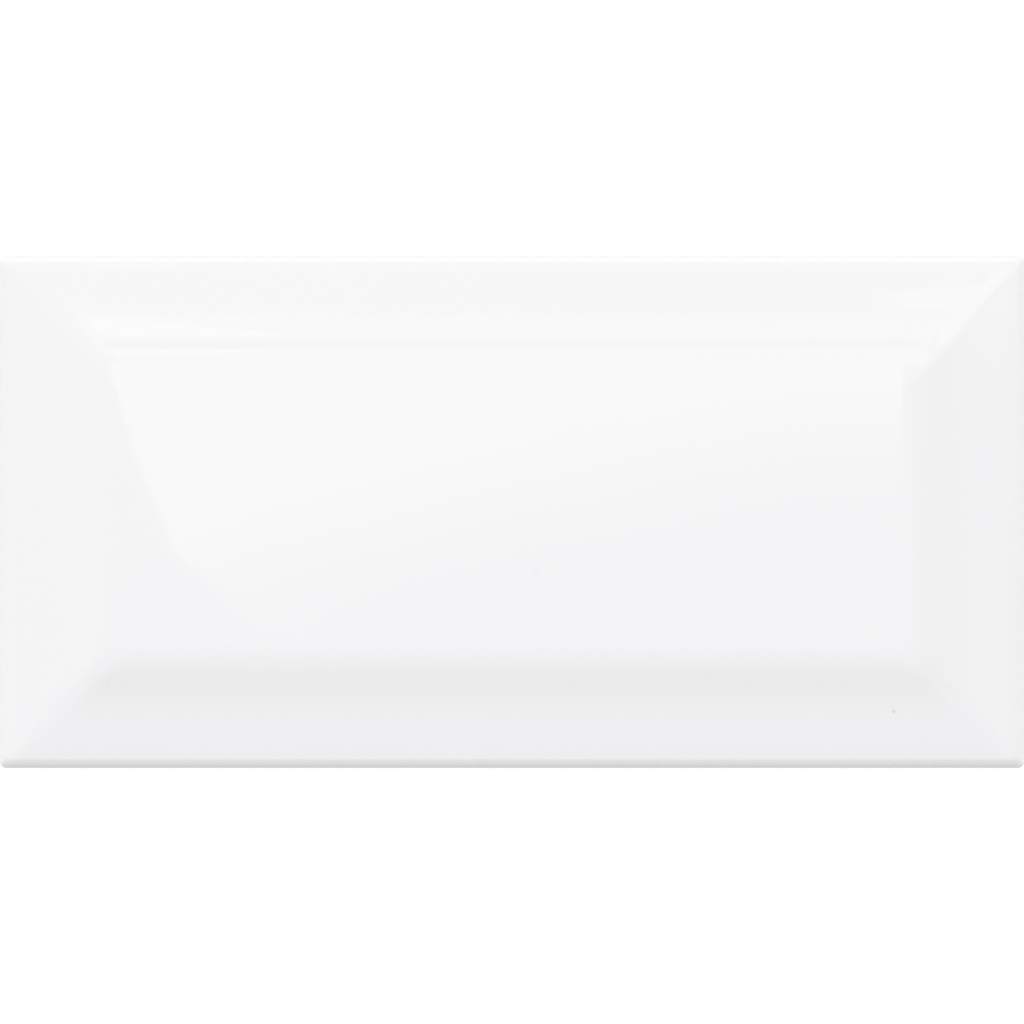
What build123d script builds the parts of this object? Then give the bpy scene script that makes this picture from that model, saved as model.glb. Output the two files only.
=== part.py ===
from build123d import *
from math import radians, tan
import os

# A glazed wall tile with bevelled edges round a flat raised field, pressed and fired in one piece.
# It lies on its back: X runs along it, Y across it and Z up out of its glazed face.
# The origin is the middle of the back. All sizes are in millimetres.

# Overall size, with the upright wall measured up to the line where it would meet the bevel
LENGTH = 200.0
WIDTH = 100.0
WALL_HEIGHT = 4.2

# Glazed face from the edge inwards: a shallow bevel, then a steeper shoulder up to the field
BEVEL_RUN = 13.7
BEVEL_RISE = 2.0
SHOULDER_RUN = 7.6
SHOULDER_RISE = 1.8

# Roundings of that face, the chamfer round the back, and the radius of the four corners in plan
RIM_RADIUS = 2.2
HOLLOW_RADIUS = 70.0
CREST_RADIUS = 28.0
BACK_CHAMFER = 0.8
CORNER_RADIUS = 1.2

# Keying relief in the back: shallow drafted pockets between ribs, inside a plain border
BORDER_WIDTH = 6.0
RIB_WIDTH = 2.4
POCKET_PITCH = 20.0
POCKET_DEPTH = 0.7
POCKET_CORNER_RADIUS = 1.0
POCKET_DRAFT = 25.0

# The most of a straight stretch that the roundings at its two ends may take up together
ROUNDED_SHARE = 0.95

FIELD_INSET = BEVEL_RUN + SHOULDER_RUN
THICKNESS = WALL_HEIGHT + BEVEL_RISE + SHOULDER_RISE

# A side is modelled inwards as far as its crest's rounding can reach, and its section stands upright
SIDE_DEPTH = FIELD_INSET + CREST_RADIUS * SHOULDER_RISE / SHOULDER_RUN
SECTION_PLANE = Plane(origin=(0, 0, 0), x_dir=(0, 1, 0), z_dir=(1, 0, 0))


def fitted_radii(points, radii):
    """Radii for a closed outline; two that need more than the stretch between them both shrink."""
    count = len(points)
    stretches = [points[(i + 1) % count] - points[i] for i in range(count)]
    turns = [radians(stretches[i - 1].get_angle(stretches[i])) for i in range(count)]
    reaches = [radius * tan(turn / 2) for radius, turn in zip(radii, turns)]

    def room(i):
        needed = reaches[i] + reaches[(i + 1) % count]
        return ROUNDED_SHARE * stretches[i].length / needed if needed else 1

    return [radius * min(1, room(i - 1), room(i)) for i, radius in enumerate(radii)]


def edge_section(depth):
    """Section of one side of the tile, from its wall at X 0 inwards to a depth inside the field."""
    corners = [
        (Vector(BACK_CHAMFER, 0), 0),
        (Vector(0, BACK_CHAMFER), 0),
        (Vector(0, WALL_HEIGHT), RIM_RADIUS),
        (Vector(BEVEL_RUN, WALL_HEIGHT + BEVEL_RISE), HOLLOW_RADIUS),
        (Vector(FIELD_INSET, THICKNESS), CREST_RADIUS),
        (Vector(depth, THICKNESS), 0),
        (Vector(depth, 0), 0),
    ]
    points, radii = zip(*corners)
    return make_face(FilletPolyline(*points, radius=fitted_radii(points, radii), close=True))


def side(run, across):
    """A side of length run along X at Y of minus half across, mitred from the end of each corner."""
    strip = extrude(SECTION_PLANE * edge_section(SIDE_DEPTH), amount=run / 2, both=True)
    outer, inner = run / 2 - CORNER_RADIUS, run / 2 - SIDE_DEPTH
    right = [(outer, 0), (outer, CORNER_RADIUS), (inner, SIDE_DEPTH)]
    left = [(-x, y) for x, y in reversed(right)]
    mitres = extrude(Polygon(*right, *left, align=None), amount=THICKNESS + WALL_HEIGHT)
    return Pos(0, -across / 2, 0) * (strip & mitres)


def corner():
    """The corner at plus X and minus Y: the outer end of the section, turned a quarter round."""
    outer_end = Pos(CORNER_RADIUS / 2, 0) * Rectangle(CORNER_RADIUS, 2 * THICKNESS)
    section = SECTION_PLANE * (edge_section(SIDE_DEPTH) & outer_end)
    axis = Axis((0, CORNER_RADIUS, 0), (0, 0, 1))
    return Pos(LENGTH / 2 - CORNER_RADIUS, -WIDTH / 2, 0) * revolve(section, axis, 90)


def pressed_body():
    """The tile with a plain back: sides and corners round the middle of the field."""
    middle = extrude(Rectangle(LENGTH - 2 * SIDE_DEPTH, WIDTH - 2 * SIDE_DEPTH), amount=THICKNESS)
    half_turn = Rot(0, 0, 180)
    halves = [side(LENGTH, WIDTH), Rot(0, 0, 90) * side(WIDTH, LENGTH), corner(), mirror(corner(), Plane.XZ)]
    return middle + halves + [half_turn * piece for piece in halves]


def pocket_row(overall):
    """How many pockets lie across an overall size between its borders, and how long each one is."""
    ribbed = overall - 2 * BORDER_WIDTH + RIB_WIDTH
    count = max(1, round(ribbed / POCKET_PITCH))
    return count, ribbed / count - RIB_WIDTH


def keying_pockets():
    """All the pockets of the back, drafted so that they narrow into the tile."""
    count_x, pocket_x = pocket_row(LENGTH)
    count_y, pocket_y = pocket_row(WIDTH)
    block = extrude(Rectangle(pocket_x, pocket_y), amount=POCKET_DEPTH, taper=POCKET_DRAFT)
    slanted_edges = block.edges().filter_by(Plane.XY, reverse=True)
    pocket = fillet(slanted_edges, POCKET_CORNER_RADIUS)
    places = GridLocations(pocket_x + RIB_WIDTH, pocket_y + RIB_WIDTH, count_x, count_y)
    return [place * pocket for place in places]


beveled_tile = pressed_body() - keying_pockets()

os.makedirs("parts", exist_ok=True)
export_step(beveled_tile, "parts/beveled_tile.step")
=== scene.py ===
import logging
import math
from dataclasses import dataclass, field
from enum import Enum
from typing import Any

import bmesh
import bpy
import numpy as np
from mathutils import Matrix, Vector


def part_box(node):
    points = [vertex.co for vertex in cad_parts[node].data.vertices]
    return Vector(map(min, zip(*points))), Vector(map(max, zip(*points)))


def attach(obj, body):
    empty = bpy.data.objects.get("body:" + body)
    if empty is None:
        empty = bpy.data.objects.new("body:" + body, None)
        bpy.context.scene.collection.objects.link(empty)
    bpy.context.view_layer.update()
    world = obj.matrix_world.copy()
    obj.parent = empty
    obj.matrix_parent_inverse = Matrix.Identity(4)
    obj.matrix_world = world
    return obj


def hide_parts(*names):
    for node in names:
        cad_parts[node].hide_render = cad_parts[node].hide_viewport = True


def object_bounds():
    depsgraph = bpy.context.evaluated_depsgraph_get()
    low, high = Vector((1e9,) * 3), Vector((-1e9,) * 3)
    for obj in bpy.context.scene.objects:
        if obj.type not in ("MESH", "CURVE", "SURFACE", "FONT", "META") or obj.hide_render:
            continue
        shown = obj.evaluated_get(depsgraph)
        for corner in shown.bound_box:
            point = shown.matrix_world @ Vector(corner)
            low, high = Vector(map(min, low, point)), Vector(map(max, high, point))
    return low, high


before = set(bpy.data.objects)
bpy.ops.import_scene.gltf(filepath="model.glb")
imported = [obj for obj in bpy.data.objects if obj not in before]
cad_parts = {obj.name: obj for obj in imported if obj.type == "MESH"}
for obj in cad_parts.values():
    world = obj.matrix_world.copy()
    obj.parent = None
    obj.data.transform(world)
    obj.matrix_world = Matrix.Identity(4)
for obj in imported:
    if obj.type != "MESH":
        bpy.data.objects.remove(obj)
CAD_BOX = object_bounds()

# A white glazed wall tile with bevelled edges, lying on its back on a white floor under soft light.
# All sizes are in metres. X runs along the tile, Y across it and Z up out of its glazed face.

LOG = logging.getLogger("bevelled_tile")

MM = 0.001
TILE_NODE = "beveled_tile"
TILE_BODY = "root"

# The camera looks straight down, and the picture is as wide as the tile is long
IMAGE_PX = 1024
FRAME_WIDTH = CAD_BOX[1].x - CAD_BOX[0].x
CAMERA_HEIGHT = 2.0

# A place beyond the edge of the light canopy, for panels that run on past it
FAR = 3.0

Color = tuple[float, float, float]
Place = tuple[float, float]
Range = tuple[float, float]


def picture_place(x_px: float, y_px: float) -> np.ndarray:
    """Place on the tile that a pixel of the 1024 px wide picture shows.

    Args:
        x_px: pixels from the picture's left side.
        y_px: pixels down from its top.

    Returns:
        X and Y in metres from the tile's middle.
    """
    middle = IMAGE_PX / 2
    return np.array([x_px - middle, middle - y_px]) * FRAME_WIDTH / IMAGE_PX


class SeenRay(Enum):
    """Rays that show a surface itself rather than the light it sheds, by their Light Path output."""

    STRAIGHT = "Is Camera Ray"
    MIRRORED = "Is Glossy Ray"
    THROUGH_GLASS = "Is Transmission Ray"


class Value:
    """A number in a shader graph; arithmetic on it, with numbers on either side too, adds Math nodes."""

    def __init__(self, graph: "Graph", socket: bpy.types.NodeSocket) -> None:
        """Wraps a socket of a graph."""
        self.graph = graph
        self.socket = socket

    def __add__(self, other: "Number") -> "Value":
        """Sum."""
        return self.graph.math("ADD", self, other)

    def __radd__(self, other: "Number") -> "Value":
        """Sum with the number first."""
        return self.graph.math("ADD", other, self)

    def __sub__(self, other: "Number") -> "Value":
        """Difference."""
        return self.graph.math("SUBTRACT", self, other)

    def __rsub__(self, other: "Number") -> "Value":
        """Difference with the number first."""
        return self.graph.math("SUBTRACT", other, self)

    def __mul__(self, other: "Number") -> "Value":
        """Product."""
        return self.graph.math("MULTIPLY", self, other)

    def __rmul__(self, other: "Number") -> "Value":
        """Product with the number first."""
        return self.graph.math("MULTIPLY", other, self)

    def __truediv__(self, other: "Number") -> "Value":
        """Quotient."""
        return self.graph.math("DIVIDE", self, other)

    def larger(self, other: "Number") -> "Value":
        """The larger of two values."""
        return self.graph.math("MAXIMUM", self, other)

    def smaller(self, other: "Number") -> "Value":
        """The smaller of two values."""
        return self.graph.math("MINIMUM", self, other)

    def ramp(self, start: float, end: float) -> "Value":
        """An eased step from 0 where this value is start to 1 where it is end; start may be the larger.

        Args:
            start: the value at which the step begins.
            end: the value at which the step is complete.

        Returns:
            The step, from 0 to 1.
        """
        places = {"Value": self, "From Min": start, "From Max": end}
        eased = self.graph.node("ShaderNodeMapRange", {"interpolation_type": "SMOOTHSTEP"}, places)
        return Value(self.graph, eased.outputs["Result"])


Number = Value | float
Feed = Value | bpy.types.NodeSocket | float | tuple


class Graph:
    """The nodes of one material or world, built from expressions."""

    MIX_FACTOR, MIX_A, MIX_B, MIX_RESULT = 0, 6, 7, 2

    def __init__(self, tree: bpy.types.NodeTree) -> None:
        """Starts from an empty tree."""
        self.tree = tree
        tree.nodes.clear()

    def node(self, kind: str, settings: dict[str, Any], inputs: dict[str | int, Feed]) -> bpy.types.Node:
        """Adds a node.

        Args:
            kind: the node's type.
            settings: its settings, set before anything is fed to it.
            inputs: the value or link of each of its sockets, by name or place.

        Returns:
            The new node.
        """
        made = self.tree.nodes.new(kind)
        for name, setting in settings.items():
            setattr(made, name, setting)
        for name, value in inputs.items():
            if isinstance(value, Value):
                value = value.socket
            if isinstance(value, bpy.types.NodeSocket):
                self.tree.links.new(value, made.inputs[name])
            else:
                made.inputs[name].default_value = value
        return made

    def math(self, operation: str, *operands: Number) -> Value:
        """A Math node on values and numbers."""
        made = self.node("ShaderNodeMath", {"operation": operation}, dict(enumerate(operands)))
        return Value(self, made.outputs[0])

    def mix(self, factor: Number, first: Feed, second: Feed) -> bpy.types.NodeSocket:
        """A colour between two colours.

        Args:
            factor: 0 for the first colour, 1 for the second.
            first: a colour or a colour socket.
            second: a colour or a colour socket.

        Returns:
            The mixed colour's socket.
        """
        feeds = {self.MIX_FACTOR: factor, self.MIX_A: opaque(first), self.MIX_B: opaque(second)}
        return self.node("ShaderNodeMix", {"data_type": "RGBA"}, feeds).outputs[self.MIX_RESULT]

    def scaled(self, color: Feed, amount: Number) -> bpy.types.NodeSocket:
        """A colour times a number."""
        made = self.node("ShaderNodeVectorMath", {"operation": "SCALE"}, {0: color, "Scale": amount})
        return made.outputs[0]

    def place(self) -> tuple[Value, Value, Value]:
        """X, Y and Z of the shaded point in the object's own metres."""
        return self.split(self.object_coordinates())

    def split(self, vector: bpy.types.NodeSocket) -> tuple[Value, Value, Value]:
        """The three parts of a vector."""
        parts = self.node("ShaderNodeSeparateXYZ", {}, {0: vector})
        return tuple(Value(self, parts.outputs[axis]) for axis in "XYZ")

    def object_coordinates(self) -> bpy.types.NodeSocket:
        """The vector of Object coordinates."""
        return self.node("ShaderNodeTexCoord", {}, {}).outputs["Object"]

    def noise(self, size: float, detail: float = 2.0) -> Value:
        """Noise over the object.

        Args:
            size: about how wide one blotch is.
            detail: how many finer layers are added to it.

        Returns:
            The noise, between -1 and 1 and mostly near 0.
        """
        feeds = {"Vector": self.object_coordinates(), "Scale": 1 / size, "Detail": detail}
        made = self.node("ShaderNodeTexNoise", {"noise_dimensions": "3D"}, feeds)
        return (Value(self, made.outputs["Fac"]) - 0.5) * 2

    def seen_directly(self) -> Value:
        """1 for what is seen, straight on, mirrored or through glass, and 0 for the light it sheds."""
        path = self.node("ShaderNodeLightPath", {}, {})
        straight, mirrored, through = (Value(self, path.outputs[ray.value]) for ray in SeenRay)
        return straight.larger(mirrored).larger(through)


def opaque(color: Feed) -> Feed:
    """A colour with full alpha added; anything but three numbers is passed on as it is."""
    return (*color, 1.0) if isinstance(color, tuple) and len(color) == 3 else color


def eased(position: np.ndarray) -> np.ndarray:
    """Three times the square less twice the cube of a position held between 0 and 1."""
    held = np.clip(position, 0, 1)
    return held * held * (3 - 2 * held)


def corner_arc(
    before: np.ndarray, corner: np.ndarray, after: np.ndarray, radius: float, count: int
) -> np.ndarray:
    """Points of the arc that rounds a corner of a flat path.

    The arc's centre lies on the corner's bisector, at the radius over the sine of half the corner's
    angle. Each point is the centre plus the two end spokes, weighted by the sines of the turn still to
    go and of the turn already made, over the sine of the whole turn.

    Args:
        before: the path's point before the corner.
        corner: the corner itself.
        after: the path's point after it.
        radius: the rounding's radius.
        count: how many points to give.

    Returns:
        An array of count points.
    """
    back = (before - corner) / np.linalg.norm(before - corner)
    forth = (after - corner) / np.linalg.norm(after - corner)
    half_angle = math.acos(back @ forth) / 2
    bisector = (back + forth) / np.linalg.norm(back + forth)
    centre = corner + bisector * radius / math.sin(half_angle)
    reach = radius / math.tan(half_angle)
    turn = math.pi - 2 * half_angle
    share = np.linspace(0, 1, count)[:, None]
    first, last = corner + back * reach - centre, corner + forth * reach - centre
    return centre + (np.sin((1 - share) * turn) * first + np.sin(share * turn) * last) / math.sin(turn)


def fill_stretches(pieces: list[np.ndarray], spacing: float) -> np.ndarray:
    """One path through several pieces of it, with evenly spaced points on the straight stretches between.

    Args:
        pieces: arrays of points, in the path's order.
        spacing: the widest gap between points on a stretch.

    Returns:
        The whole path as one array of points.
    """
    path = [pieces[0]]
    for earlier, later in zip(pieces, pieces[1:]):
        start, end = earlier[-1], later[0]
        steps = math.ceil(np.linalg.norm(end - start) / spacing)
        share = np.linspace(0, 1, steps + 1)[1:-1, None]
        path += [start + (end - start) * share, later]
    return np.concatenate(path)


@dataclass(frozen=True)
class EdgeSection:
    """Section of the tile: under its border, up its wall, over bevel and shoulder to the field."""

    thickness: float
    bevel_run: float = 13.7 * MM
    bevel_rise: float = 2.0 * MM
    shoulder_run: float = 7.6 * MM
    shoulder_rise: float = 1.8 * MM
    chamfer: float = 0.8 * MM
    arris_radius: float = 0.3 * MM
    rim_radius: float = 2.2 * MM
    hollow_radius: float = 70.0 * MM
    crest_radius: float = 28.0 * MM
    line_gap: float = 1.3 * MM
    arc_points: tuple[int, ...] = (4, 4, 13, 9, 17)

    @property
    def shoulder_foot(self) -> float:
        """Height at which the bevel meets the shoulder."""
        return self.thickness - self.shoulder_rise

    @property
    def wall_height(self) -> float:
        """Height at which the upright wall would meet the bevel."""
        return self.shoulder_foot - self.bevel_rise

    def path(self, start: float, middle: float) -> np.ndarray:
        """The section's line, as inset from the tile's outline and height above the floor.

        Args:
            start: the inset under the tile at which the line begins.
            middle: the inset at the tile's middle, where it ends.

        Returns:
            An array of pairs of inset and height.
        """
        line = np.array([
            (start, 0), (self.chamfer, 0), (0, self.chamfer), (0, self.wall_height),
            (self.bevel_run, self.shoulder_foot), (self.bevel_run + self.shoulder_run, self.thickness),
            (middle, self.thickness),
        ])
        radii = (
            self.arris_radius, self.arris_radius, self.rim_radius, self.hollow_radius, self.crest_radius
        )
        arcs = [
            corner_arc(*line[place:place + 3], radius, count)
            for place, (radius, count) in enumerate(zip(radii, self.arc_points))
        ]
        return fill_stretches([line[:1], *arcs, line[-1:]], self.line_gap)


@dataclass(frozen=True)
class KeyingBack:
    """Relief of the back: drafted pockets with rounded corners between ribs, inside a plain border."""

    length: float
    width: float
    border: float = 6.0 * MM
    rib: float = 2.4 * MM
    pitch: float = 20.0 * MM
    depth: float = 0.7 * MM
    corner_radius: float = 1.0 * MM
    draft: float = math.radians(25)
    plain_edge: float = 1.0 * MM
    wall_lines_mm: tuple[float, ...] = (0.0, 0.1, 0.22, 0.33, 0.5, 0.75, 1.1)
    floor_margin: float = 2.2 * MM
    floor_lines: int = 8

    @property
    def inset(self) -> float:
        """Inset from the outline at which the back's grid ends, a little outside the pockets."""
        return self.border - self.plain_edge

    def row(self, overall: float) -> tuple[int, float]:
        """Number of pockets across an overall size, and the length of one."""
        ribbed = overall - 2 * self.border + self.rib
        count = max(1, round(ribbed / self.pitch))
        return count, ribbed / count - self.rib

    def lines(self, overall: float) -> np.ndarray:
        """Places of the grid's lines across an overall size: close together at each pocket's walls."""
        count, pocket = self.row(overall)
        wall = np.array(self.wall_lines_mm) * MM
        floor = np.linspace(self.floor_margin, pocket - self.floor_margin, self.floor_lines)
        in_pocket = np.concatenate([[-self.rib / 2], wall, floor, pocket - wall[::-1]])
        starts = (np.arange(count) - count / 2) * (pocket + self.rib) + self.rib / 2
        edge = overall / 2 - self.inset
        inner = (starts[:, None] + in_pocket).ravel()[1:]
        return np.concatenate([[-edge], inner, [edge]])

    def height(self, x: np.ndarray, y: np.ndarray) -> np.ndarray:
        """Height of the back above the floor.

        Each place is folded into one pocket. The height is the pocket's depth times an eased step of how
        far the place lies inside the pocket's rounded outline, over the run of the drafted wall.

        Args:
            x: places along the tile.
            y: places across it.

        Returns:
            An array of heights.
        """
        outside = []
        for place, overall in ((x, self.length), (y, self.width)):
            count, pocket = self.row(overall)
            pitch = pocket + self.rib
            nearest = np.clip(np.round(place / pitch + (count - 1) / 2), 0, count - 1) - (count - 1) / 2
            outside.append(np.abs(place - nearest * pitch) - pocket / 2 + self.corner_radius)
        beyond = np.hypot(np.maximum(outside[0], 0), np.maximum(outside[1], 0))
        inside = self.corner_radius - beyond - np.minimum(np.maximum(*outside), 0)
        return self.depth * eased(inside / (self.depth * math.tan(self.draft)))


@dataclass(frozen=True)
class GlazeSwell:
    """The slow swell of a fired glaze, which rises and falls by a few thousandths of a millimetre."""

    depth: float = 0.006 * MM
    shortest: float = 22.0 * MM
    longest: float = 70.0 * MM
    waves: int = 9
    seed: int = 41

    def height(self, x: np.ndarray, y: np.ndarray) -> np.ndarray:
        """Height of the swell, never above 0: the mean of seeded cosine waves, lowered by its depth."""
        draw = np.random.default_rng(self.seed)
        heading = draw.uniform(0, math.pi, self.waves)
        turns = 2 * math.pi / draw.uniform(self.shortest, self.longest, self.waves)
        phase = draw.uniform(0, 2 * math.pi, self.waves)
        along = x[..., None] * np.cos(heading) + y[..., None] * np.sin(heading)
        return self.depth * (np.cos(along * turns + phase).mean(-1) - 1)


@dataclass(frozen=True)
class Pinhole:
    """A pit in the glaze, where a bubble burst in firing and left a dark point."""

    x_px: float
    y_px: float
    radius: float
    darkness: float


@dataclass(frozen=True)
class WhiteGlaze:
    """Glossy white glaze, fired smooth, with a few pinholes."""

    color: Color = (0.88, 0.88, 0.88)
    deep_color: Color = (0.874, 0.874, 0.876)
    pit_color: Color = (0.20, 0.19, 0.18)
    roughness: float = 0.02
    refraction: float = 1.6
    mottle_size: float = 34.0 * MM
    ripple_size: float = 9.0 * MM
    ripple_height: float = 0.0004 * MM
    pit_depth: float = 0.03 * MM
    pinholes: tuple[Pinhole, ...] = (
        Pinhole(893, 711, 0.46 * MM, 0.26),
        Pinhole(536, 570, 0.42 * MM, 0.07),
        Pinhole(352, 476, 0.40 * MM, 0.03),
        Pinhole(949, 685, 0.40 * MM, 0.06),
        Pinhole(108, 686, 0.40 * MM, 0.06),
    )

    def pits(self, x: Value, y: Value) -> Value:
        """How dark and deep the glaze is pitted: a rounded hump of the squared distance for each pinhole.

        Args:
            x: X of the shaded point.
            y: Y of the shaded point.

        Returns:
            The pits, from 0 to 1.
        """
        pits = x * 0
        for hole in self.pinholes:
            middle = picture_place(hole.x_px, hole.y_px)
            across, up = x - float(middle[0]), y - float(middle[1])
            pits = pits + (1 - (across * across + up * up) / hole.radius**2).larger(0) * hole.darkness
        return pits

    def height(self, graph: Graph, pits: Value) -> Value:
        """Fine relief in metres: a faint ripple, less the pits."""
        return graph.noise(self.ripple_size, 1.0) * self.ripple_height - pits * self.pit_depth

    def surface(self, graph: Graph, pits: Value) -> bpy.types.NodeSocket:
        """Colour: white that wanders a little where the glaze lies deeper, and dark in the pits."""
        mottle = graph.noise(self.mottle_size, 3.0) * 0.5 + 0.5
        return graph.mix(pits, graph.mix(mottle, self.color, self.deep_color), self.pit_color)


@dataclass(frozen=True)
class Biscuit:
    """The bare fired body on the back and the foot of the walls: pale, dry and grainy."""

    color: Color = (0.74, 0.70, 0.63)
    dark_color: Color = (0.62, 0.57, 0.50)
    roughness: float = 0.92
    grain_size: float = 0.7 * MM
    grain_height: float = 0.035 * MM
    cloud_size: float = 26.0 * MM
    cloud_level: float = 0.35
    cloud_contrast: float = 0.6
    grit_size: float = 0.9 * MM
    grit_from: Range = (0.30, 0.48)
    grit_darkness: float = 0.5

    def height(self, graph: Graph) -> Value:
        """Fine relief in metres: the grain of the pressed body."""
        return graph.noise(self.grain_size, 4.0) * self.grain_height

    def surface(self, graph: Graph) -> bpy.types.NodeSocket:
        """Colour: soft clouds left by the kiln, with fine darker grit."""
        clouds = graph.noise(self.cloud_size, 3.0) * self.cloud_contrast + self.cloud_level
        grit = graph.noise(self.grit_size, 1.0).ramp(*self.grit_from)
        return graph.mix((clouds + grit * self.grit_darkness).larger(0), self.color, self.dark_color)


@dataclass(frozen=True)
class TileFinish:
    """The tile's one material: glaze down to a wandering line on the walls, and bare biscuit below it."""

    glaze: WhiteGlaze = WhiteGlaze()
    biscuit: Biscuit = Biscuit()
    line_height: float = 1.5 * MM
    line_wander: float = 0.9 * MM
    wander_size: float = 9.0 * MM
    line_softness: float = 0.12 * MM
    thin_reach: float = 0.9 * MM
    thin_share: float = 0.35

    def material(self) -> bpy.types.Material:
        """Builds the material, with everything placed by Object coordinates."""
        material = bpy.data.materials.new("white_glaze_on_biscuit")
        material.use_nodes = True
        graph = Graph(material.node_tree)
        x, y, z = graph.place()
        above = z - self.line_height - graph.noise(self.wander_size, 3.0) * self.line_wander
        glazed = above.ramp(-self.line_softness, self.line_softness)
        body_shows = above.ramp(self.thin_reach, 0.0) * self.thin_share
        pits = self.glaze.pits(x, y)
        glaze_color = graph.mix(body_shows, self.glaze.surface(graph, pits), self.biscuit.color)
        color = graph.mix(glazed, self.biscuit.surface(graph), glaze_color)
        roughness = glazed * self.glaze.roughness + (1 - glazed) * self.biscuit.roughness
        relief = glazed * self.glaze.height(graph, pits) + (1 - glazed) * self.biscuit.height(graph)
        bump = graph.node("ShaderNodeBump", {}, {"Strength": 1.0, "Distance": 1.0, "Height": relief})
        feeds = {"Base Color": color, "Roughness": roughness, "Normal": bump.outputs["Normal"],
                 "IOR": self.glaze.refraction}
        shader = graph.node("ShaderNodeBsdfPrincipled", {}, feeds)
        graph.node("ShaderNodeOutputMaterial", {}, {"Surface": shader.outputs["BSDF"]})
        return material


@dataclass
class Tile:
    """The whole tile as one closed surface: a gridded back, and rings from its border over the face."""

    length: float
    width: float
    thickness: float
    corner_radius: float = 1.2 * MM
    mitre_radius: float = 3.0 * MM
    corner_lines: int = 11
    weld: float = 0.001 * MM
    finish: TileFinish = TileFinish()
    swell: GlazeSwell = GlazeSwell()
    section: EdgeSection = field(init=False)
    back: KeyingBack = field(init=False)

    def __post_init__(self) -> None:
        """Sizes the section and the back to the tile."""
        self.section = EdgeSection(self.thickness)
        self.back = KeyingBack(self.length, self.width)

    def unit_ring(self) -> tuple[np.ndarray, np.ndarray]:
        """One turn round the tile, split into where and which way.

        Each side follows the lines of the back's grid, and each corner is a quarter turn. Every ring is
        then this turn's place on a unit rectangle times the ring's half sizes less its corner radius,
        plus the outward direction times that radius.

        Returns:
            The places on the unit rectangle and the outward directions, anticlockwise from above.
        """
        half = np.array([self.length, self.width]) / 2 - self.back.inset
        sides = [self.back.lines(self.length) / half[0], self.back.lines(self.width) / half[1]]
        turns = np.linspace(0, math.pi / 2, self.corner_lines + 2)[1:-1]
        places, directions = [], []
        for quarter in range(4):
            heading = quarter * math.pi / 2
            forth = np.round([math.cos(heading), math.sin(heading)])
            out = np.array([forth[1], -forth[0]])
            along = sides[quarter % 2]
            places += [along[:, None] * forth + out, np.repeat([forth + out], len(turns), 0)]
            swing = np.cos(turns)[:, None] * out + np.sin(turns)[:, None] * forth
            directions += [np.repeat([out], len(along), 0), swing]
        return np.concatenate(places), np.concatenate(directions)

    def ring_radii(self, inset: np.ndarray, height: np.ndarray) -> np.ndarray:
        """Corner radius of each ring: tight below, and wider up the bevels so that the mitres are soft.

        Args:
            inset: each ring's inset from the outline.
            height: each ring's height.

        Returns:
            An array of radii.
        """
        spread = self.mitre_radius - self.corner_radius
        on_face = self.corner_radius + spread * eased(inset / self.section.bevel_run)
        below = np.maximum(self.corner_radius - inset, 0)
        radii = np.where(height > self.section.chamfer, on_face, below)
        return np.minimum(radii, self.width / 2 - inset)

    def rings(self) -> np.ndarray:
        """Vertices of the border, the walls and the face, as rings by points by X, Y and Z."""
        inset, height = self.section.path(self.back.inset, self.width / 2).T
        radii = self.ring_radii(inset, height)[:, None, None]
        half = np.array([self.length, self.width]) / 2 - inset[:, None]
        places, directions = self.unit_ring()
        flat = places * (half[:, None, :] - radii) + directions * radii
        x, y = flat[..., 0], flat[..., 1]
        glazed = eased(height / self.thickness)[:, None] * (inset > 0)[:, None]
        level = height[:, None] + glazed * self.swell.height(x, y)
        return np.stack([x, y, level], -1)

    def back_grid(self) -> np.ndarray:
        """Vertices of the back inside its border, as lines along by lines across by X, Y and Z."""
        x, y = np.meshgrid(self.back.lines(self.length), self.back.lines(self.width), indexing="ij")
        return np.stack([x, y, self.back.height(x, y)], -1)

    @property
    def outline_height(self) -> float:
        """Height up to which the walls are upright, where the tile is as wide as it gets."""
        return self.section.wall_height - self.section.rim_radius

    def build(self) -> bpy.types.Object:
        """Joins rings and grid into one closed mesh, dresses it and lets it stand for the CAD node."""
        rings, grid = self.rings(), self.back_grid()
        around = quads(*rings.shape[:2], closed=True)
        under = quads(*grid.shape[:2], closed=False) + rings[..., 0].size
        vertices = np.concatenate([rings.reshape(-1, 3), grid.reshape(-1, 3)])
        mesh = bpy.data.meshes.new("glazed_tile")
        mesh.from_pydata(vertices.tolist(), [], np.concatenate([around, under]).tolist())
        close_mesh(mesh, self.weld)
        tile = bpy.data.objects.new("glazed_tile", mesh)
        bpy.context.scene.collection.objects.link(tile)
        mesh.materials.append(self.finish.material())
        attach(tile, TILE_BODY)
        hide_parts(TILE_NODE)
        return tile


def quads(rows: int, columns: int, closed: bool) -> np.ndarray:
    """Faces of a grid of vertices that are numbered row by row.

    Args:
        rows: how many rows of vertices there are.
        columns: how many vertices a row has.
        closed: whether each row's last vertex joins its first.

    Returns:
        An array of faces, four vertex numbers each.
    """
    row = np.arange(rows - 1)[:, None] * columns
    column = np.arange(columns if closed else columns - 1)
    following = (column + 1) % columns
    corners = [row + column, row + following, row + columns + following, row + columns + column]
    return np.stack(corners, -1).reshape(-1, 4)


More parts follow.
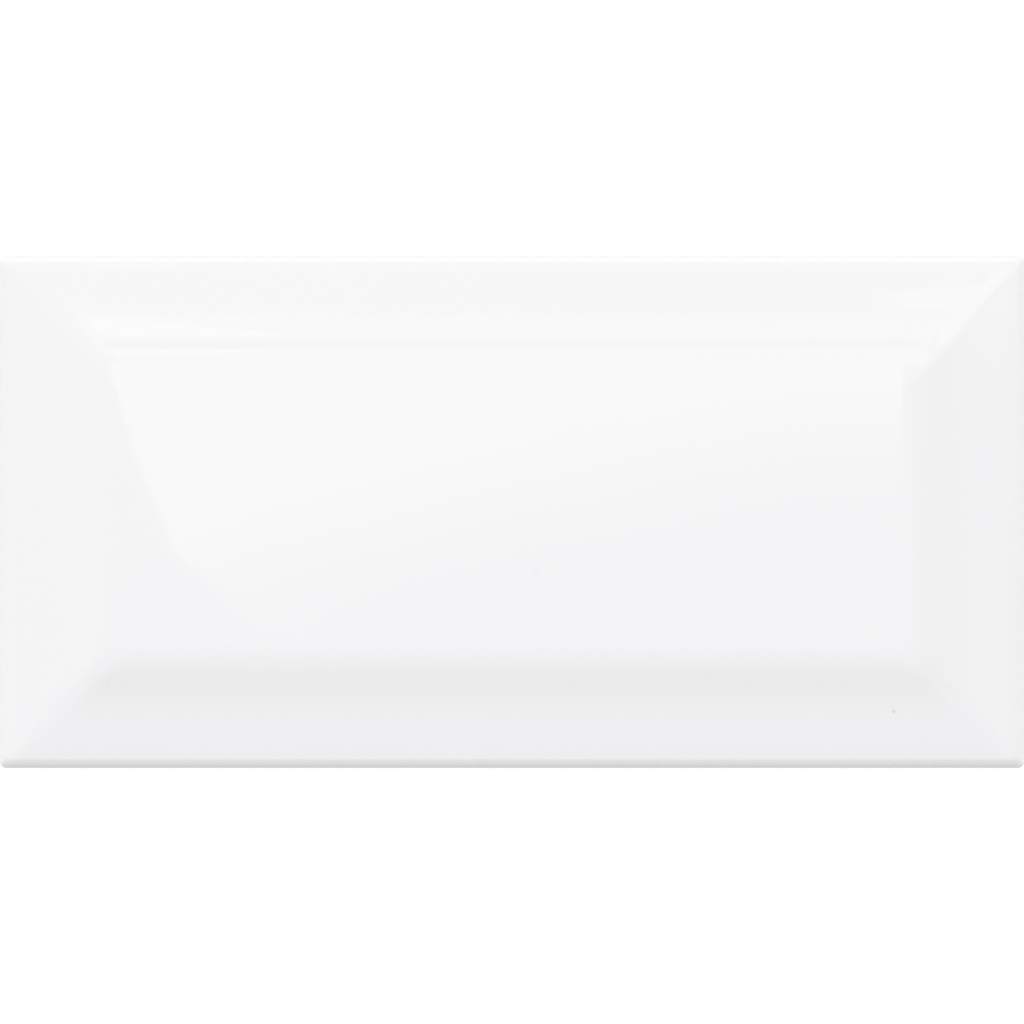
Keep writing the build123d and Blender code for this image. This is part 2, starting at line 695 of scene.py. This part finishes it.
def close_mesh(mesh: bpy.types.Mesh, weld: float) -> None:
    """Welds the points that meet, which closes the seams and corners, and shades the mesh smooth.

    Args:
        mesh: the mesh to close.
        weld: how near two points have to be to become one.
    """
    work = bmesh.new()
    work.from_mesh(mesh)
    bmesh.ops.remove_doubles(work, verts=work.verts, dist=weld)
    open_edges = sum(not edge.is_manifold for edge in work.edges)
    work.to_mesh(mesh)
    work.free()
    mesh.shade_smooth()
    LOG.info("%s: %d faces, %d open edges", mesh.name, len(mesh.polygons), open_edges)


def flat_sheet(name: str, half: float, height: float, material: bpy.types.Material) -> bpy.types.Object:
    """A level square sheet for the stage, facing up, with its place in its mesh.

    Args:
        name: the object's name.
        half: half the length of its side.
        height: its height above the floor.
        material: its material.

    Returns:
        The new object.
    """
    mesh = bpy.data.meshes.new(name)
    corners = [(-half, -half, height), (half, -half, height), (half, half, height), (-half, half, height)]
    mesh.from_pydata(corners, [], [(0, 1, 2, 3)])
    mesh.materials.append(material)
    sheet = bpy.data.objects.new(name, mesh)
    bpy.context.scene.collection.objects.link(sheet)
    return sheet


@dataclass(frozen=True)
class Panel:
    """A flat lamp of the light canopy with straight, eased sides; a strength below 0 makes it a gap."""

    strength: float
    corners: tuple[Place, ...]
    ease: float

    def level(self, x: Value, y: Value) -> Value:
        """How much the panel adds at a place: the product of an eased step across each of its sides.

        Args:
            x: X on the canopy.
            y: Y on the canopy.

        Returns:
            Its strength inside, and 0 outside.
        """
        level = x * 0 + self.strength
        for (x0, y0), (x1, y1) in zip(self.corners, self.corners[1:] + self.corners[:1]):
            length = math.hypot(x1 - x0, y1 - y0)
            inside = ((x1 - x0) * (y - y0) - (y1 - y0) * (x - x0)) / length
            level = level * inside.ramp(-self.ease, self.ease)
        return level


def span(strength: float, ease: float, x: Range = (-FAR, FAR), y: Range = (-FAR, FAR)) -> Panel:
    """A panel with sides along X and Y, which runs on past the canopy where no limits are given.

    Args:
        strength: how much brighter the canopy is there.
        ease: half the width of its soft sides.
        x: its limits along X.
        y: its limits along Y.

    Returns:
        The panel.
    """
    return Panel(strength, ((x[0], y[0]), (x[1], y[0]), (x[1], y[1]), (x[0], y[1])), ease)


@dataclass(frozen=True)
class Softbox:
    """The large softbox that the field mirrors: crisp on its left, faded along its front."""

    strength: float = 0.74
    fall: float = 0.28
    fall_from: Range = (0.06, 0.20)
    bend: Place = (-0.1146, 0.0245)
    side_slope: float = -2.19
    shelf_slope: float = -0.11
    tip: Place = (-0.0979, -0.0111)
    tip_slope: float = -0.92
    side_ease: float = 0.0008
    bend_ease: float = 0.01
    front: tuple[float, float, float] = (0.0053, 0.2365, -0.575)
    front_ease: float = 0.026
    limits: Panel = Panel(
        1.0,
        ((-0.26, -0.3), (0.135, -0.3), (0.175, 0.20), (0.149, 0.353), (-0.10, 0.353), (-0.26, 0.19)),
        0.002,
    )

    def share(self, x: Value, y: Value) -> Value:
        """How far a place is inside the softbox.

        Its crisp side runs steeply down from the bend and turns towards the right at the tip. To the left
        of the bend it runs nearly level. Its front fades out along a parabola.

        Args:
            x: X on the canopy.
            y: Y on the canopy.

        Returns:
            1 inside, 0 outside.
        """
        beside, before = x - self.bend[0], y - self.bend[1]
        behind_shelf = before - beside * self.shelf_slope
        behind_tip = y - self.tip[1] - (x - self.tip[0]) * self.tip_slope
        behind_side = (before - beside * self.side_slope).smaller(behind_tip)
        level, slope, curve = self.front
        behind_front = (y - level - x * slope - x * x * curve).ramp(-self.front_ease, self.front_ease)
        front = behind_front.larger(x.ramp(self.bend[0] + self.bend_ease, self.bend[0] - self.bend_ease))
        side = behind_side.larger(behind_shelf).ramp(-self.side_ease, self.side_ease)
        return side * front * self.limits.level(x, y)


@dataclass(frozen=True)
class Canopy:
    """The studio's light canopy, as the glossy face mirrors it, seen by reflections only."""

    height: float = 1.0
    half_size: float = 1.6
    base: float = 1.20
    white: Color = (1.0, 1.0, 1.0)
    blue: Color = (0.92, 0.935, 1.15)
    blue_lean: float = 0.1
    blue_from: Range = (-0.07, 0.02)
    blue_until: Range = (-0.44, -0.37)
    softbox: Softbox = Softbox()
    # White lamp on the right, which the far end of the right bevel mirrors
    side_lamp: Panel = span(0.22, 0.010, x=(0.36, FAR), y=(0.053, 0.30))
    # Far side: a soft fall, a lit strip for the foot of the hollow, a duller stretch for its right half,
    # a lit strip for the light line on the crest, and a gap for the dark line on the shoulder
    far_side: tuple[Panel, ...] = (
        span(-0.36, 0.13, y=(0.22, FAR)),
        span(0.22, 0.007, x=(-0.5, 0.5), y=(0.378, 0.44)),
        span(-0.12, 0.06, x=(0.03, 0.2), y=(0.37, 0.532)),
        span(0.16, 0.012, x=(-0.04, 0.5), y=(0.435, 0.505)),
        span(-0.42, 0.012, x=(-0.5, 0.5), y=(0.537, FAR)),
    )
    # Near side: a slight rise for the bevel, a step down for the hollow, a fall for the shoulder, and
    # a gap for the rim
    near_side: tuple[Panel, ...] = (
        span(0.09, 0.10, y=(-FAR, -0.24)),
        span(-0.12, 0.004, y=(-FAR, -0.3675)),
        span(-0.12, 0.09, y=(-FAR, -0.46)),
        span(-0.85, 0.01, y=(-FAR, -0.574)),
    )
    # Left end: a soft fall
    left_end: tuple[Panel, ...] = (span(-0.06, 0.1, x=(-FAR, -0.25)),)
    # Right end: a soft fall, a gap for the shoulder, a further fall towards the near side, and a lit
    # strip for the outer half of the bevel
    right_end: tuple[Panel, ...] = (
        span(-0.28, 0.14, x=(0.32, FAR), y=(-FAR, 0.20)),
        span(-0.10, 0.03, x=(0.575, 0.66), y=(-FAR, 0.12)),
        span(-0.10, 0.06, x=(0.32, FAR), y=(-FAR, -0.02)),
        span(0.16, 0.003, x=(0.4352, 0.449), y=(-FAR, 0.12)),
    )
    # Streak in the far left of the hollow
    streak: Panel = Panel(
        0.44,
        (
            (-0.1270, 0.462), (-0.1255, 0.43), (-0.1215, 0.398), (-0.1150, 0.396), (-0.100, 0.432),
            (-0.076, 0.468), (-0.056, 0.492), (-0.0555, 0.504), (-0.085, 0.519), (-0.117, 0.525),
            (-0.1245, 0.505),
        ),
        0.0005,
    )
    # Pointed tongue on the far bevel, beside the far right mitre
    tongue: Panel = Panel(
        0.50,
        (
            (0.1062, 0.3606), (0.1290, 0.3567), (0.1500, 0.3555), (0.1500, 0.3652), (0.1225, 0.3634),
            (0.1140, 0.3622),
        ),
        0.0003,
    )
    # Light along the far right mitre, which goes on from the tongue
    mitre_lamp: Panel = Panel(
        0.55,
        (
            (0.1490, 0.340), (0.20, 0.25), (0.28, 0.17), (0.40, 0.13), (0.42, 0.22), (0.30, 0.34),
            (0.17, 0.3685), (0.1490, 0.3652),
        ),
        0.0010,
    )
    # Short light dash above the tongue
    dash: Panel = Panel(
        0.30, ((0.124, 0.3677), (0.138, 0.3673), (0.138, 0.3690), (0.124, 0.3687)), 0.0004
    )

    @property
    def panels(self) -> tuple[Panel, ...]:
        """Every lamp and gap that changes the brightness and leaves the tint as it is."""
        bands = (*self.far_side, *self.near_side, *self.left_end, *self.right_end)
        return (*bands, self.streak, self.tongue, self.mitre_lamp, self.dash)

    def color(self, x: Value, y: Value) -> bpy.types.NodeSocket:
        """Light of a place on the canopy.

        The softbox, the lamps and the gaps add up to its brightness. Its tint leans to blue in the near
        part, outside the softbox and the side lamp.

        Args:
            x: X on the canopy.
            y: Y on the canopy.

        Returns:
            The tint times the brightness.
        """
        share = self.softbox.share(x, y)
        side_level = self.side_lamp.level(x, y)
        strength = self.softbox.strength - y.ramp(*self.softbox.fall_from) * self.softbox.fall
        level = share * strength + side_level + self.base
        for panel in self.panels:
            level = level + panel.level(x, y)
        near = (x * self.blue_lean - y).ramp(*self.blue_from) * y.ramp(*self.blue_until)
        blue = near * (1 - share) * (1 - side_level / self.side_lamp.strength)
        tint = x.graph.mix(blue, self.white, self.blue)
        return x.graph.scaled(tint, level.larger(0))

    def build(self) -> bpy.types.Object:
        """Makes the canopy, which only reflections see."""
        material = bpy.data.materials.new("canopy_light")
        material.use_nodes = True
        graph = Graph(material.node_tree)
        x, y, _ = graph.place()
        glow = graph.node("ShaderNodeEmission", {}, {"Color": self.color(x, y), "Strength": 1.0})
        graph.node("ShaderNodeOutputMaterial", {}, {"Surface": glow.outputs[0]})
        material.cycles.emission_sampling = "NONE"
        sheet = flat_sheet("canopy", self.half_size, self.height, material)
        sheet.visible_camera = False
        sheet.visible_diffuse = False
        sheet.visible_shadow = False
        sheet.visible_transmission = False
        return sheet


@dataclass(frozen=True)
class Studio:
    """White floor, soft surroundings, one large soft lamp, the canopy and the camera over the tile."""

    floor_half: float = 3.0
    floor_gap: float = 0.02 * MM
    floor_color: Color = (0.70, 0.70, 0.70)
    floor_glow: float = 0.88
    glow_strength: float = 1.1
    surround_color: Color = (1.116, 1.116, 1.116)
    surround_lean: tuple[float, float] = (-0.044, 0.11)
    bright_sides: float = 0.44
    dim_ends: float = 0.34
    dark_side: float = 0.66
    dark_from: Range = (-0.055, -0.95)
    background: Color = (1.0, 1.0, 1.0)
    lamp_zenith: float = math.radians(55)
    lamp_azimuth: float = math.radians(106.7)
    lamp_distance: float = 3.2
    lamp_size: float = 1.4
    lamp_power: float = 4.0
    lens_mm: float = 360.0
    canopy: Canopy = Canopy()

    def floor(self) -> bpy.types.Object:
        """The white floor: it glows towards the camera as a lit backdrop does, and keeps some shadow."""
        material = bpy.data.materials.new("white_floor")
        material.use_nodes = True
        graph = Graph(material.node_tree)
        matte = graph.node("ShaderNodeBsdfDiffuse", {}, {"Color": opaque(self.floor_color)})
        glow_feeds = {"Color": opaque(self.background), "Strength": self.glow_strength}
        glow = graph.node("ShaderNodeEmission", {}, glow_feeds)
        share = graph.seen_directly() * self.floor_glow
        feeds = {0: share, 1: matte.outputs[0], 2: glow.outputs[0]}
        mixed = graph.node("ShaderNodeMixShader", {}, feeds)
        graph.node("ShaderNodeOutputMaterial", {}, {"Surface": mixed.outputs[0]})
        material.cycles.emission_sampling = "NONE"
        return flat_sheet("floor", self.floor_half, -self.floor_gap, material)

    def surroundings(self) -> None:
        """Soft light from all round, stronger from one side, and seen as a white background."""
        world = bpy.data.worlds.new("soft_surroundings")
        world.use_nodes = True
        graph = Graph(world.node_tree)
        direction = graph.node("ShaderNodeTexCoord", {}, {}).outputs["Generated"]
        x, y, _ = graph.split(direction)
        lean_x, lean_y = self.surround_lean
        ends = y * y * self.dim_ends + y.ramp(*self.dark_from) * self.dark_side
        share = (1 + x * lean_x + y * lean_y + (x * x * self.bright_sides - ends)).larger(0)
        shade = graph.scaled(self.surround_color, share)
        light = graph.node("ShaderNodeBackground", {}, {"Color": shade, "Strength": 1.0})
        seen = graph.node("ShaderNodeBackground", {}, {"Color": opaque(self.background), "Strength": 1.0})
        feeds = {0: graph.seen_directly(), 1: light.outputs[0], 2: seen.outputs[0]}
        mixed = graph.node("ShaderNodeMixShader", {}, feeds)
        graph.node("ShaderNodeOutputWorld", {}, {"Surface": mixed.outputs[0]})
        world.cycles.sampling_method = "NONE"
        bpy.context.scene.world = world

    def lamp(self) -> None:
        """One large soft lamp over the far side of the tile, a little to its left."""
        light = bpy.data.lights.new("soft_lamp", "AREA")
        light.size = self.lamp_size
        light.energy = self.lamp_power
        lamp = bpy.data.objects.new("soft_lamp", light)
        level = math.sin(self.lamp_zenith)
        away = Vector((level * math.cos(self.lamp_azimuth), level * math.sin(self.lamp_azimuth),
                       math.cos(self.lamp_zenith)))
        lamp.location = away * self.lamp_distance
        lamp.rotation_euler = away.to_track_quat("Z", "Y").to_euler()
        lamp.visible_glossy = False
        bpy.context.scene.collection.objects.link(lamp)

    def camera(self, outline_height: float) -> None:
        """A long lens straight above, which frames the tile from end to end.

        Args:
            outline_height: height of the tile's widest outline, across which the frame is measured.
        """
        lens = bpy.data.cameras.new("overhead_camera")
        lens.lens = self.lens_mm
        lens.sensor_width = self.lens_mm * FRAME_WIDTH / (CAMERA_HEIGHT - outline_height)
        camera = bpy.data.objects.new("overhead_camera", lens)
        camera.location = (0, 0, CAMERA_HEIGHT)
        bpy.context.scene.collection.objects.link(camera)
        bpy.context.scene.camera = camera

    def build(self, outline_height: float) -> None:
        """Sets up floor, light and camera, and the plain view settings."""
        bpy.context.scene.view_settings.view_transform = "Standard"
        self.floor()
        self.surroundings()
        self.lamp()
        self.canopy.build()
        self.camera(outline_height)


def main() -> None:
    """Builds the tile and its studio in order, and reports each piece."""
    logging.basicConfig(level=logging.INFO, format="%(name)s: %(message)s")
    low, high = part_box(TILE_NODE)
    size = high - low
    tile = Tile(length=size.x, width=size.y, thickness=size.z)
    made = tile.build()
    LOG.info("%s stands for %s", made.name, TILE_NODE)
    Studio().build(tile.outline_height)
    LOG.info("studio set up")


if __name__ == "__main__":
    main()
